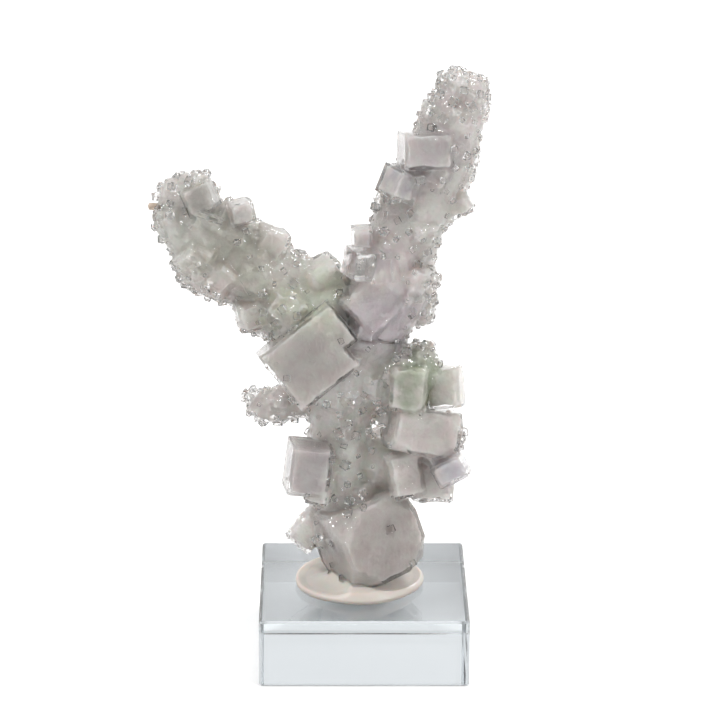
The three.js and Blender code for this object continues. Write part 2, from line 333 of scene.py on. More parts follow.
def heading(stations, share):
    """The direction of a limb at a share of the way along it."""
    return (along(stations, share + HEADING_STEP) - along(stations, share - HEADING_STEP)).to_3d()


def length_of(stations):
    return sum((Vector(b[:3]) - Vector(a[:3])).length for a, b in zip(stations, stations[1:]))


def add_rod(bm, stations):
    """One limb's bare rod: rings round its course that swell softly, closed in a dome at each end."""
    rings = round(length_of(stations) / ROD_PITCH)
    sides = round(2 * math.pi * max(s[3] for s in stations) / ROD_PITCH)
    loops = []
    for ring in range(1, rings):
        share = ring / rings
        here = along(stations, share)
        ahead = heading(stations, share)
        across = ahead.cross(Vector((0, 1, 0))).normalized()
        end = min(share, 1 - share) / DOME_SHARE
        dome = math.sqrt(1 - (1 - end) ** 2) if end < 1 else 1
        loop = []
        for side in range(sides):
            angle = 2 * math.pi * side / sides
            swelling = sum(h * math.sin(r * angle + 2 * math.pi * a * share) for r, a, h in SWELLINGS)
            out = across * math.cos(angle) + Vector((0, LIMB_DEPTH * math.sin(angle), 0))
            radius = ROD_SHARE * here.w * dome * (1 + swelling)
            loop.append(bm.verts.new((here.to_3d() + out * radius) * MM))
        loops.append(loop)
    join_rings(bm, loops)
    for loop, tip in ((loops[0], stations[0]), (loops[-1], stations[-1])):
        fan(bm, loop, metres(tip[:3]))


def add_blocks(bm, stations, rng):
    """Blocky crystals half sunk in a limb, each with a face turned roughly outwards."""
    for _ in range(round(BLOCKS["number"] * length_of(stations))):
        share = rng.uniform(*BLOCKS["stretch"])
        here = along(stations, share)
        ahead = heading(stations, share).normalized()
        across = ahead.cross(Vector((0, 1, 0))).normalized()
        angle = rng.uniform(0, math.tau)
        out = across * math.cos(angle) + ahead.cross(across) * math.sin(angle)
        edges = [rng.uniform(*BLOCKS["size"]) * here.w for _ in range(3)]
        reach = here.w + rng.uniform(*BLOCKS["proud"]) - edges[0] / 2
        stray = [math.radians(rng.uniform(-1, 1) * BLOCKS["stray"]) for _ in range(3)]
        frame_of_block = Matrix((out, ahead, out.cross(ahead))).transposed() @ Euler(stray).to_matrix()
        place = Matrix.Translation(metres(here[:3]) + out * reach * MM) @ frame_of_block.to_4x4()
        bmesh.ops.create_cube(bm, size=1, matrix=place @ Matrix.Diagonal((*metres(edges), 1)))


def lump_height(point):
    """How far the limbs' skin stands out at a point, in millimetres: round lumps over a fine roughness."""
    from_middle = noise.voronoi(point / LUMPS["apart"])[0][0]
    lump = math.sqrt(max(0, 1 - (from_middle / LUMPS["radius"]) ** 2))
    fine = noise.noise(point / LUMPS["fine_size"])
    return LUMPS["height"] * (lump - LUMPS["sunk"]) + LUMPS["fine_height"] * fine


def fused_limbs():
    """All limbs and the larger crystals grown together into one knobbly body, which the grains grow on."""
    bm = bmesh.new()
    rng = random.Random("blocks")
    for stations in LIMBS.values():
        add_rod(bm, stations)
        add_blocks(bm, stations, rng)
    for _, crystal in all_crystals("overgrown", "cloudy"):
        bm.from_mesh(crystal_mesh(crystal, SKIN_RIM if crystal.kind == "cloudy" else 0))
    bmesh.ops.recalc_face_normals(bm, faces=bm.faces)
    mesh = fused(place_object("limbs", mesh_of(bm, "limbs")), FUSING_VOXEL)
    points = points_of(mesh)
    normals = np.array([n.vector for n in mesh.vertex_normals])
    heights = np.array([lump_height(Vector(p) / MM) for p in points])
    mesh.vertices.foreach_set("co", (points + normals * heights[:, None] * MM).astype(np.float32).ravel())
    mesh.update()
    return mesh


def wedge_between(seams, finish):
    """A prism along Y that spans a sector between two seams at the fork, its faces in a finish."""
    rays = (seams[0], sum(seams) / 2, seams[1])
    outline = [FORK]
    for angle in map(math.radians, rays):
        outline.append(FORK + SECTOR_REACH * Vector((math.cos(angle), 0, math.sin(angle))))
    bm = bmesh.new()
    half_depth = Vector((0, SECTOR_REACH, 0))
    ends = [[bm.verts.new(at + side * half_depth) for at in outline] for side in (-1, 1)]
    for end in ends:
        bm.faces.new(end)
    for i, j in ((0, 1), (1, 2), (2, 3), (3, 0)):
        bm.faces.new((ends[0][i], ends[0][j], ends[1][j], ends[1][i]))
    bmesh.ops.recalc_face_normals(bm, faces=bm.faces)
    for face in bm.faces:
        face.material_index = finish
    return mesh_of(bm, "wedge")


def combined(mesh, steps):
    """A mesh after boolean steps with other meshes, each an operation's name and its mesh."""
    piece = place_object("piece", mesh)
    tools = []
    for operation, other in steps:
        tool = place_object("tool", other)
        boolean = piece.modifiers.new("combine", "BOOLEAN")
        boolean.operation = operation
        boolean.solver = "MANIFOLD"
        boolean.object = tool
        tools.append(tool)
    result = applied(piece)
    for tool in tools:
        bpy.data.objects.remove(tool)
    return result


def sector_of(mesh, seams, finishes):
    """The part of a mesh between two seams at the fork, its walls along them in the last finish."""
    mesh = mesh.copy()
    mesh.materials.clear()
    for finish in finishes:
        mesh.materials.append(finish)
    return combined(mesh, [("INTERSECT", wedge_between(seams, len(finishes) - 1))])


# ---- Larger crystals ----


class Crystal(NamedTuple):
    """A larger crystal: a square prism with cut corners.

    The overgrown kind is rounded off and covered by the druse, the cloudy kind has a cloudy core in a clear
    rim, and the clear kind has none.
    """

    kind: str
    centre: tuple
    size: tuple  # along its own x, y and z
    tilt: tuple  # in degrees: its roll about y, then its lean about x, then its turn about z
    corner: float  # the share of each edge that its cut corners take


CRYSTALS = {
    "trunk": {
        "great": Crystal("cloudy", (-10.2, -8.5, 59.2), (13.4, 8.5, 12.6), (-37, -12, 6), 0.26),
        "great_side": Crystal("cloudy", (-7.4, -7.3, 63.6), (8.6, 8, 8.6), (-37, -12, 6), 0.1),
        "low_left": Crystal("cloudy", (-10.2, -6.7, 37.9), (7.6, 7, 9.2), (8, -2, 9), 0.12),
        "low_left_small": Crystal("overgrown", (-8.2, -7.4, 33), (4.2, 4.4, 3.5), (12, -6, -10), 0.1),
        "green_table": Crystal("overgrown", (8.1, -5.8, 53), (6.6, 6, 8.2), (4, -6, -6), 0.35),
        "clear_table": Crystal("cloudy", (14.6, -3.5, 52.2), (6.2, 5, 7.4), (-7, -12, -14), 0.45),
        "pale_slab": Crystal("cloudy", (10.4, -4.1, 44.2), (12.6, 9, 8.6), (15, -10, 16), 0.55),
        "blue": Crystal("cloudy", (15.6, -6.9, 37.5), (6.2, 5, 4.4), (-29, -6, -4), 0.2),
        "low_right": Crystal("overgrown", (12.4, -3.3, 34.1), (7.4, 7, 6.8), (4, -8, 4), 0.12),
        "pink": Crystal("overgrown", (7.2, -5.5, 36.2), (5.8, 6, 8.4), (-9, -10, 12), 0.1),
        "base_core": Crystal("cloudy", (0.9, -3.3, 23.1), (15.8, 13, 15.2), (-15, -12, 27), 0.66),
        "base_rear": Crystal("overgrown", (-1, 4, 22.4), (12, 8, 11), (14, 8, -20), 0.1),
        "base_pale": Crystal("overgrown", (-9.9, 1, 22.8), (5.6, 5, 6.8), (38, -2, -8), 0.2),
        "notch": Crystal("overgrown", (4.4, -1.5, 46.4), (5, 5, 5), (20, 0, 30), 0.1),
        "rear": Crystal("overgrown", (-5.4, 5.6, 52), (8.2, 7, 8.6), (28, 10, 14), 0.1),
        "rear_low": Crystal("overgrown", (4.6, 5.4, 36.4), (8.6, 7.4, 7.4), (-16, 12, 28), 0.1),
    },
    "left_branch": {
        "tip_face": Crystal("cloudy", (-29.3, -4.5, 88.0), (5.4, 5, 5.2), (-26, -8, -10), 0.1),
        "ledge": Crystal("clear", (-27.5, -7.0, 85.2), (4.8, 3, 1), (20, -6, 0), 0.1),
        "top": Crystal("cloudy", (-22.3, -3.2, 85), (4.6, 5, 4.2), (-10, -8, 14), 0.3),
        "top_step": Crystal("overgrown", (-16.8, -2, 79.2), (5.4, 5, 5), (24, 0, 12), 0.1),
        "window": Crystal("clear", (-19.8, -6.6, 73.4), (4, 4, 4), (-30, -9, -2), 0.1),
        "low": Crystal("overgrown", (-20.4, -3.6, 66.4), (5.4, 6, 5.2), (-12, 4, 12), 0.24),
        "root": Crystal("overgrown", (-7.4, -1, 72.2), (6.4, 7, 6), (-24, 0, 18), 0.2),
        "rear": Crystal("overgrown", (-18, 5.2, 74.8), (7.6, 6.4, 7), (20, 8, 12), 0.1),
        "rear_tip": Crystal("overgrown", (-29.4, 4.6, 82), (5.6, 5.4, 5.4), (-14, 10, -16), 0.1),
    },
    "right_branch": {
        "lone_cube": Crystal("cloudy", (6.0, -4.6, 90.7), (5.2, 5.4, 5.4), (23, 4, 34), 0.04),
        "striated": Crystal("cloudy", (10.6, -3.5, 96.5), (8.9, 8, 6.6), (2, -12, 10), 0.2),
        "fork_block": Crystal("cloudy", (-0.6, -2.2, 79.6), (3.8, 5, 4.6), (-2, -4, 2), 0.1),
        "fork_gem": Crystal("clear", (-0.3, -6.6, 76.6), (5.8, 5.4, 5.2), (8, 2, 24), 0.2),
        "lilac_gem": Crystal("clear", (3.6, -7, 75.2), (4, 4.6, 4.2), (-12, -14, -24), 0.1),
        "lilac_root": Crystal("overgrown", (0.8, -3.9, 68.4), (8.4, 7.4, 9), (-42, -8, 16), 0.2),
        "edge_table": Crystal("overgrown", (16.7, 0.2, 85.4), (4.4, 4.4, 3.6), (-24, 0, 0), 0.1),
        "rear": Crystal("overgrown", (7.2, 5, 80.4), (7.6, 6.4, 7.2), (22, 8, -18), 0.1),
        "rear_high": Crystal("overgrown", (14.2, 4, 98.6), (6, 5.6, 6.4), (-18, 8, 14), 0.1),
    },
}
EDGE_ROUND = 0.09  # how much of a crystal's edges is rounded off
SKIN_RIM = 0.3  # how deep the fused skin that bears the grains lies under the faces of a sharp crystal


def turned(crystal):
    """The matrix that places a crystal, in metres."""
    roll, lean, turn = (math.radians(angle) for angle in crystal.tilt)
    return Matrix.Translation(metres(crystal.centre)) @ Euler((lean, roll, turn), "YXZ").to_matrix().to_4x4()


def all_crystals(*kinds):
    """Each larger crystal of some kinds, after the branch that it grows on."""
    return [
        (branch, crystal)
        for branch, crystals in CRYSTALS.items()
        for crystal in crystals.values()
        if crystal.kind in kinds
    ]


def cut_corners(bm, size, corner):
    """Cuts off a prism's eight corners. The two at the ends of an edge take a share of it, corner."""
    for signs in ((x, y, z) for x in (-1, 1) for y in (-1, 1) for z in (-1, 1)):
        tip = Vector(sign * edge / 2 for sign, edge in zip(signs, size))
        on_edge = tip - Vector((signs[0] * size[0] * corner / 2, 0, 0))
        away = Vector(sign / edge for sign, edge in zip(signs, size)).normalized()
        parts = bm.verts[:] + bm.edges[:] + bm.faces[:]
        cut = bmesh.ops.bisect_plane(bm, geom=parts, plane_co=on_edge, plane_no=away, clear_outer=True)
        rim = [e for e in cut["geom_cut"] if isinstance(e, bmesh.types.BMEdge)]
        bmesh.ops.edgeloop_fill(bm, edges=rim)


def crystal_mesh(crystal, rim=0):
    """A crystal's mesh, less a rim all round, its edges slightly rounded."""
    size = metres(edge - 2 * rim for edge in crystal.size)
    bm = bmesh.new()
    bmesh.ops.create_cube(bm, size=1, matrix=Matrix.Diagonal((*size, 1)))
    cut_corners(bm, size, crystal.corner)
    bmesh.ops.bevel(bm, geom=bm.edges[:], offset=EDGE_ROUND * MM, segments=1, affect="EDGES", profile=0.5)
    bmesh.ops.transform(bm, matrix=turned(crystal), verts=bm.verts)
    bmesh.ops.recalc_face_normals(bm, faces=bm.faces)
    for face in bm.faces:
        face.material_index = 1
    return mesh_of(bm, "crystal")


def inside(crystal, points, margin):
    """Which of the points, in metres, lie within a crystal grown by a margin in millimetres."""
    back = np.array(turned(crystal).inverted())
    local = np.abs(points @ back[:3, :3].T + back[:3, 3]) / MM
    size = np.array(crystal.size) + 2 * margin
    reach = (3 - crystal.corner) / 2
    return (local < size / 2).all(1) & ((local / size).sum(1) < reach)


# ---- Druse ----

# Kinds of grain: least distance between them, radius of the largest, the share of its radius that each is
# sunk by, and the skin attribute that thins them out.
GRAINS = {
    "sugar": {"spacing": 0.85, "radius": 0.5, "bury": 0.4, "where": "open_skin"},
    "knob": {"spacing": 1.7, "radius": 0.95, "bury": 0.4, "where": "crusty"},
    "bead": {"spacing": 1.5, "radius": 0.7, "bury": 0.05, "where": "crusty"},
    "gem": {"spacing": 2.8, "radius": 1.0, "bury": 0.3, "where": "crusty"},
}
FUSED_KINDS = ("sugar", "knob", "bead")
# Their shapes: cubes about two units across, with edges rounded off by a width in a number of cuts.
GRAIN_CUBE = 1.7
GRAIN_SHAPES = {
    "sugar": {"rounding": 0.3, "cuts": 1, "smooth": True},
    "knob": {"rounding": 0.2, "cuts": 1, "smooth": True},
    "bead": {"rounding": 0.45, "cuts": 2, "smooth": True},
    "gem": {"rounding": 0.12, "cuts": 1, "smooth": False},
}
CRUST_VOXEL = 0.25
CLEAR_RIM = 1.0  # how deep the cloudy core lies under the skin
CRYSTAL_RIM = 0.55  # the same for the faces of its sharp crystals
# Dents in the core's surface: their size, their depth, and the share of it that bulges out between them.
CLOUDS = {"size": 2.4, "depth": 0.35, "bulge": 0.3}
CORE_VOXEL = 0.35
CRYSTAL_GAP = 0.02  # between a crystal and the druse of another branch
LEAST_SHARE = 0.5  # the smallest grain of a kind, as a share of the largest
LEAST_STRETCH, MOST_STRETCH = 0.82, 1.15  # along each of a grain's own axes
DENSEST = 4e6  # grains tried for each square metre before the spacing thins them
SEEDS = {"place": 3, "size": 4, "turn": 5, "stretch": 6}
FACE_DRUSE = 0.12  # the share of the grains that grow on the faces of larger crystals
FACE_REACH = 0.5  # the skin counts as a larger crystal's face up to this distance from it
SEAM_WIDTH = 0.02  # the skin counts as a seam's wall up to this distance from it
COARSENESS = {"mean": 0.8, "drift": 0.5, "patch": 5}  # how large the grains are, drifting over the skin
LEAST_CRUST = 0.3  # the share of the way to its edge that a smooth zone is evenly thin within
# Where the crystals have grown together to smooth faces with few grains on them: centre and radius.
SMOOTH_ZONES = [
    ((-30, -7, 81), 6), ((-23, -7, 75), 6), ((-8, -7, 68), 6), ((2, -7, 70), 7), ((2, -6, 60), 5),
    ((11, -6, 86), 5), ((-15, -3, 49), 4),
]


def grain_shape(kind, rounding, cuts, smooth):
    """A pseudo-cube of about unit radius with its edges and corners rounded or cut."""
    bm = bmesh.new()
    bmesh.ops.create_cube(bm, size=GRAIN_CUBE)
    bmesh.ops.bevel(bm, geom=bm.edges[:], offset=rounding, segments=cuts, profile=0.5, affect="EDGES")
    for face in bm.faces:
        face.smooth = smooth
    return place_object(kind, mesh_of(bm, kind))


def grain_tree():
    """Bare skin in, grains of one kind on it out: random in size and turn, and sunk a little into it."""
    inputs = {
        "Skin": "geometry",
        "Shape": "object",
        "Spacing": "value",
        "Radius": "value",
        "Bury": "value",
        "Where": "text",
        "Finish": "material",
    }
    group, nodes, given, out = new_group("GeometryNodeTree", "grains", inputs, {"Grains": "geometry"})
    scatter = nodes.node(
        "GeometryNodeDistributePointsOnFaces",
        {
            "Mesh": given["Skin"],
            "Distance Min": given["Spacing"],
            "Density Max": DENSEST,
            "Density Factor": nodes.attribute(given["Where"]),
            "Seed": SEEDS["place"],
        },
        distribute_method="POISSON",
    )
    share = nodes.random(LEAST_SHARE, 1.0, SEEDS["size"])
    largest = nodes.math("MULTIPLY", given["Radius"], nodes.attribute("coarseness"))
    radius = nodes.math("MULTIPLY", largest, share)
    sink = nodes.scaled(scatter.outputs["Normal"], nodes.math("MULTIPLY", radius, given["Bury"]))
    sunk = nodes.node("GeometryNodeSetPosition", {"Geometry": scatter.outputs["Points"], "Offset": sink})
    stretch = nodes.random((LEAST_STRETCH,) * 3, (MOST_STRETCH,) * 3, SEEDS["stretch"])
    shape = nodes.node("GeometryNodeObjectInfo", {"Object": given["Shape"], "As Instance": True})
    grains = nodes.node(
        "GeometryNodeInstanceOnPoints",
        {
            "Points": sunk.outputs[0],
            "Instance": shape.outputs["Geometry"],
            "Rotation": nodes.random((0.0, 0.0, 0.0), (math.tau,) * 3, SEEDS["turn"]),
            "Scale": nodes.scaled(stretch, radius),
        },
    )
    whole = nodes.node("GeometryNodeRealizeInstances", {"Geometry": grains.outputs[0]}).outputs[0]
    finished = nodes.node("GeometryNodeSetMaterial", {"Geometry": whole, "Material": given["Finish"]})
    nodes.feed(out["Grains"], finished.outputs[0])
    return group


def grains_on(skin, tree, kind, shape, finish):
    """The grains of one kind on a skin, as a plain mesh."""
    piece = place_object("growing", skin)
    growth = piece.modifiers.new("growth", "NODES")
    growth.node_group = tree
    values = {
        "Shape": shape,
        "Spacing": GRAINS[kind]["spacing"] * MM,
        "Radius": GRAINS[kind]["radius"] * MM,
        "Bury": -GRAINS[kind]["bury"],
        "Where": GRAINS[kind]["where"],
        "Finish": finish,
    }
    for socket in tree.interface.items_tree:
        if socket.name in values:
            growth[socket.identifier] = values[socket.name]
    return applied(piece)


def druse_mesh(skin, grains):
    """The clear outside: a skin and its grains grown together."""
    bm = bmesh.new()
    for mesh in (skin, *grains):
        bm.from_mesh(mesh)
    return fused(place_object("crust", mesh_of(bm, "crust")), CRUST_VOXEL)


def shrunk(mesh, depth):
    """A mesh drawn inwards by a depth in millimetres."""
    normals = np.array([n.vector for n in mesh.vertex_normals])
    inner = mesh.copy()
    inner.vertices.foreach_set("co", (points_of(mesh) - normals * depth * MM).astype(np.float32).ravel())
    return inner


def core_mesh(inner_limbs, branch):
    """A branch's cloudy inside, with an uneven surface, under the clear rim of its skin and crystals."""
    bm = bmesh.new()
    bm.from_mesh(inner_limbs)
    for owner, crystal in all_crystals("overgrown", "cloudy"):
        if owner == branch:
            bm.from_mesh(crystal_mesh(crystal, CRYSTAL_RIM))
    core = fused(place_object("core", mesh_of(bm, "core")), CORE_VOXEL)
    dents = np.array([noise.noise(Vector(p) / MM / CLOUDS["size"]) for p in points_of(core)])
    return shrunk(core, CLOUDS["depth"] * np.maximum(dents, -CLOUDS["bulge"])[:, None])


def with_crystals(druse, branch):
    """A branch's druse joined with its own sharp crystals, and hollowed round those of the others."""
    steps = []
    for owner, crystal in all_crystals("cloudy", "clear"):
        if owner == branch:
            steps.append(("UNION", crystal_mesh(crystal)))
        else:
            steps.append(("DIFFERENCE", crystal_mesh(crystal, -CRYSTAL_GAP)))
    return combined(druse, steps)


def paint_skin(mesh, sector=()):
    """Marks where grains may grow: few on larger crystals and in smooth zones, none on a sector's seams."""
    points = points_of(mesh)
    buried = np.zeros(len(points), bool)
    crusty = np.ones(len(points))
    for _, crystal in all_crystals("overgrown", "cloudy", "clear"):
        crusty[inside(crystal, points, FACE_REACH)] = FACE_DRUSE
        if crystal.kind != "overgrown":
            buried |= inside(crystal, points, -2 * SKIN_RIM)
    for seam in sector:
        angle = math.radians(seam + 90)
        away = np.array((math.cos(angle), 0, math.sin(angle)))
        buried |= np.abs((points - np.array(FORK)) @ away) < SEAM_WIDTH * MM
    drift = np.array([noise.noise(Vector(p) / MM / COARSENESS["patch"]) for p in points])
    coarse = COARSENESS["mean"] + COARSENESS["drift"] * drift
    crusty[buried] = 0
    for centre, radius in SMOOTH_ZONES:
        share = np.clip(np.linalg.norm(points / MM - centre, axis=1) / radius, LEAST_CRUST, 1)
        crusty *= share**2
        coarse *= share**0.5
    open_skin = np.where(buried, 0, crusty**0.5)
    for name, values in (("open_skin", open_skin), ("crusty", crusty), ("coarseness", coarse)):
        mesh.attributes.new(name, "FLOAT", "POINT").data.foreach_set("value", np.array(values, np.float32))


# ---- Materials ----

# Where the cluster takes on a colour, and where light is painted on it: centre, radius and the colour there.
TINTS_AND_PAINTED_LIGHT = [
    ((-31, -4, 82), 9, (0.61, 0.62, 0.58)),
    ((-24, -4, 76), 9, (0.46, 0.46, 0.375)),
    ((-27, -4, 71), 6, (0.69, 0.63, 0.595)),
    ((-10, -5, 68), 9, (0.81, 0.85, 0.69)),
    ((-12, -4, 76), 5, (0.74, 0.735, 0.69)),
    ((3, -5, 66), 8, (0.59, 0.53, 0.585)),
    ((4, -5, 77), 7, (0.78, 0.715, 0.71)),
    ((15, -3, 80), 6, (0.65, 0.65, 0.61)),
    ((18, -3, 106), 8, (0.74, 0.7, 0.695)),
    # Painted light: the trunk lies in shade under the crystals and is painted near white here to lighten it.
    ((-3, -4, 50), 9, (0.97, 0.95, 0.925)),
    ((-2, -4, 37), 8, (0.99, 0.99, 0.94)),
    ((-19, -2, 47), 6, (0.65, 0.61, 0.595)),
    ((10, -5, 54), 6, (0.19, 0.27, 0.1)),
    ((15, -5, 52), 4, (0.66, 0.665, 0.62)),
    ((11, -5, 44), 6, (0.7, 0.66, 0.64)),
    ((-10, -8, 38), 6, (0.34, 0.305, 0.315)),
    ((16, -7, 37), 4, (0.47, 0.455, 0.54)),
    ((10.6, -5, 96.5), 6, (0.54, 0.51, 0.53)),
    ((1, -5, 77.5), 4, (0.59, 0.54, 0.57)),
    ((-22, -4, 85), 3, (0.56, 0.55, 0.55)),
    ((-10, -9, 59), 9, (0.46, 0.435, 0.415)),
    ((1, -5, 22), 11, (0.455, 0.405, 0.38)),
    ((-28.6, -6, 88.6), 3.5, (0.25, 0.255, 0.225)),
    ((10.5, -6, 35.5), 4, (0.51, 0.45, 0.43)),
    ((6, -4.6, 90.7), 3.4, (0.4, 0.385, 0.43)),
    ((-10.5, 0, 22), 4.5, (0.96, 0.94, 0.92)),
]
TINT_FADE = (0.35, 1.35)  # a tint is whole within the first share of its radius, and gone at the second
BODY_COLOUR = (0.70, 0.67, 0.65)
TINT_STRAY = {"scale": 260.0, "reach": 9}  # how the zones' edges waver
# The tint drifts between two shares of itself, a pink and a green one.
MOTTLE = {"scale": 520.0, "shares": ((1.04, 0.98, 0.985), (0.94, 0.98, 0.92))}
NOISE_BAND = (0.36, 0.64)  # nearly all of a noise lies between these
# Marks of growth: fine striae drawn out along Z, with the brightest of them white, small facets, soft
# ripples and clouds. Their scales are in repeats to the metre.
STRIAE = {"scale": 1800.0, "drawn_out": (1, 1, 0.06), "white": (0.52, 0.72), "whiteness": 0.8}
FACETS = {"scale": 1500.0}
RIPPLES = {"scale": 700.0}
VEILS = {"scale": 260.0, "detail": 4.0, "roughness": 0.65}


def tint_group():
    """The cluster's body colour, drifting to a tint in each zone, with painted light on the shaded trunk."""
    inputs, outputs = {"Place": "vector"}, {"Colour": "colour"}
    group, nodes, given, out = new_group("ShaderNodeTree", "zone_tint_and_painted_light", inputs, outputs)
    place = given["Place"]
    waver = nodes.node("ShaderNodeTexNoise", {"Vector": place, "Scale": TINT_STRAY["scale"], "Detail": 3.0})
    stray = nodes.vector_math("SUBTRACT", waver.outputs["Color"], (0.5, 0.5, 0.5))
    strayed = nodes.vector_math("MULTIPLY_ADD", stray, metres((TINT_STRAY["reach"],) * 3), place)
    colour = BODY_COLOUR
    for centre, radius, tint in TINTS_AND_PAINTED_LIGHT:
        reach = nodes.node("ShaderNodeVectorMath", {0: strayed, 1: metres(centre)}, operation="DISTANCE")
        full, none = (share * radius * MM for share in TINT_FADE)
        share = nodes.spread(reach.outputs["Value"], full, none, 1.0, 0.0)
        colour = nodes.mix(share, colour, tint)
    drift = nodes.spread(nodes.noise(place, MOTTLE["scale"], 3.0), *NOISE_BAND)
    mottle = nodes.mix(drift, *MOTTLE["shares"])
    nodes.feed(out["Colour"], nodes.mix(1.0, colour, mottle, blend="MULTIPLY"))
    return group


def growth_group():
    """Fine marks of growth: the height of striae, facets and ripples, and veils inside, each from 0 to 1."""
    inputs = {"Place": "vector", "Striae": "value", "Ripple": "value", "Facets": "value"}
    outputs = {"Height": "value", "Veil": "value"}
    group, nodes, given, out = new_group("ShaderNodeTree", "growth_marks", inputs, outputs)
    place = given["Place"]
    lines = nodes.noise(nodes.vector_math("MULTIPLY", place, STRIAE["drawn_out"]), STRIAE["scale"])
    cells = nodes.node("ShaderNodeTexVoronoi", {"Vector": place, "Scale": FACETS["scale"]})
    striae = nodes.math("MULTIPLY", lines, given["Striae"])
    facets = nodes.math("MULTIPLY_ADD", cells.outputs["Distance"], given["Facets"], striae)
    ripple = nodes.noise(place, RIPPLES["scale"], 3.0)
    nodes.feed(out["Height"], nodes.math("MULTIPLY_ADD", ripple, given["Ripple"], facets))
    cloud = nodes.spread(nodes.noise(place, **VEILS), *NOISE_BAND)
    streaks = nodes.spread(lines, *STRIAE["white"], to_high=STRIAE["whiteness"])
    nodes.feed(out["Veil"], nodes.math("MAXIMUM", cloud, streaks))
    return group


def new_material(name):
    material = bpy.data.materials.new(name)
    material.use_nodes = True
    shader = Nodes(material.node_tree)
    principled = material.node_tree.nodes["Principled BSDF"]
    place = shader.node("ShaderNodeTexCoord").outputs["Object"]
    return material, shader, principled.inputs, place


def add_bump(shader, sockets, height, depth):
    """Roughens the surface by a height from 0 to 1, times a depth in millimetres."""
    bump = shader.node("ShaderNodeBump", {"Height": height, "Distance": depth * MM, "Strength": 1.0})
    shader.feed(sockets["Normal"], bump.outputs["Normal"])


IOR = {"crystal": 1.535, "acrylic": 1.49, "putty": 1.45}
VEILED_ROUGHNESS = 0.12  # how much rougher a face is over a veil
GLOW_TINT = (1.0, 0.9, 0.85)  # how far red, green and blue light spread in the cloudy mineral, as shares


def mineral(
    name, groups, colour, veil, depth, zone=0.0, clarity=1.0, roughness=0.0, glow=0.0,
    striae=0.0, ripple=1.0, facets=0.0,
):
    """A crystal's finish: a colour with paler veils, drawn by a share towards the tint of its zone, which on
    the trunk is painted light.
    """
    material, shader, sockets, place = new_material(name)
    tint = shader.node("ShaderNodeGroup", node_tree=groups["tint"])
    shader.feed(tint.inputs["Place"], place)
    marks = shader.node("ShaderNodeGroup", node_tree=groups["marks"])
    shader.feed(marks.inputs["Place"], place)
    shader.feed(marks.inputs["Striae"], striae)
    shader.feed(marks.inputs["Ripple"], ripple)
    shader.feed(marks.inputs["Facets"], facets)
    own = shader.mix(marks.outputs["Veil"], colour, veil)
    shader.feed(sockets["Base Color"], shader.mix(zone, own, tint.outputs["Colour"]))
    polish = shader.spread(marks.outputs["Veil"], 0.0, 1.0, roughness, roughness + VEILED_ROUGHNESS)
    shader.feed(sockets["Roughness"], polish)
    shader.feed(sockets["Transmission Weight"], clarity)
    shader.feed(sockets["IOR"], IOR["crystal"])
    shader.feed(sockets["Subsurface Weight"], 1.0 if glow else 0.0)
    shader.feed(sockets["Subsurface Scale"], glow * MM)
    shader.feed(sockets["Subsurface Radius"], GLOW_TINT)
    add_bump(shader, sockets, marks.outputs["Height"], depth)
    return material


CLEAR = dict(colour=(0.96, 0.955, 0.95), veil=(0.97, 0.965, 0.96))
MINERALS = {
    "druse": dict(CLEAR, facets=1.0, depth=0.06),
    "crystal": dict(CLEAR, striae=2.0, depth=0.06),
    "gem": dict(CLEAR, roughness=0.06, ripple=0.0, depth=0.04),
    "core": dict(
        colour=(0.645, 0.61, 0.60), veil=(0.87, 0.85, 0.84), zone=0.66, clarity=0.0, roughness=0.4,
        facets=0.6, depth=0.16, glow=3.0,
    ),
}


# Plain finishes. Their colour drifts between two colours with a noise, and their roughness between two
# values over a band of it.
ACRYLIC = dict(scale=90.0, detail=3.0, colours=((0.97, 0.985, 1.0), (0.985, 0.995, 1.0)), band=(0.45, 0.8))
DRIFTS = {
    "clear_acrylic": dict(ACRYLIC, roughness=(0.0, 0.03)),
    "acrylic_chamfer": dict(ACRYLIC, roughness=(0.12, 0.2)),
    "putty": dict(
        scale=160.0, detail=3.0, colours=((0.52, 0.47, 0.42), (0.57, 0.54, 0.50)), band=(0.3, 0.7),
        roughness=(0.28, 0.45),
    ),
    "host_rock": dict(
        scale=1500.0, detail=4.0, colours=((0.30, 0.22, 0.16), (0.60, 0.50, 0.42)), band=(0.2, 0.8),
        roughness=(0.5, 0.8),
    ),
}
ACRYLIC_DEPTH = {"colour": (0.21, 0.305, 0.355), "density": 10.0}
PUTTY_GLOW = {"share": 0.5, "reach": 1.5}
PUTTY_DINTS = {"scale": 900.0, "depth": 0.08}
ROCK_GRAIN = 0.3
PAPER = {"scale": 300.0, "detail": 4.0, "greys": (0.90, 0.93), "roughness": 0.9, "specular": 0.2}


def drifting(name):
    """A plain finish, what is needed to go on with it, and the noise that it drifts with."""
    drift = DRIFTS[name]
    material, shader, sockets, place = new_material(name)
    waver = shader.noise(place, drift["scale"], drift["detail"])
    shader.feed(sockets["Base Color"], shader.mix(waver, *drift["colours"]))
    shader.feed(sockets["Roughness"], shader.spread(waver, *drift["band"], *drift["roughness"]))
    return material, shader, sockets, place, waver


def acrylic(name):
    """Clear acrylic, faintly blue in depth."""
    material, shader, sockets, *_ = drifting(name)
    shader.feed(sockets["Transmission Weight"], 1.0)
    shader.feed(sockets["IOR"], IOR["acrylic"])
    volume = {"Color": ACRYLIC_DEPTH["colour"], "Density": ACRYLIC_DEPTH["density"]}
    absorption = shader.node("ShaderNodeVolumeAbsorption", volume)
    shader.feed(material.node_tree.nodes["Material Output"].inputs["Volume"], absorption.outputs[0])
    return material


def putty():
    material, shader, sockets, place, _ = drifting("putty")
    shader.feed(sockets["Subsurface Weight"], PUTTY_GLOW["share"])
    shader.feed(sockets["Subsurface Scale"], PUTTY_GLOW["reach"] * MM)
    shader.feed(sockets["IOR"], IOR["putty"])
    add_bump(shader, sockets, shader.noise(place, PUTTY_DINTS["scale"]), PUTTY_DINTS["depth"])
    return material


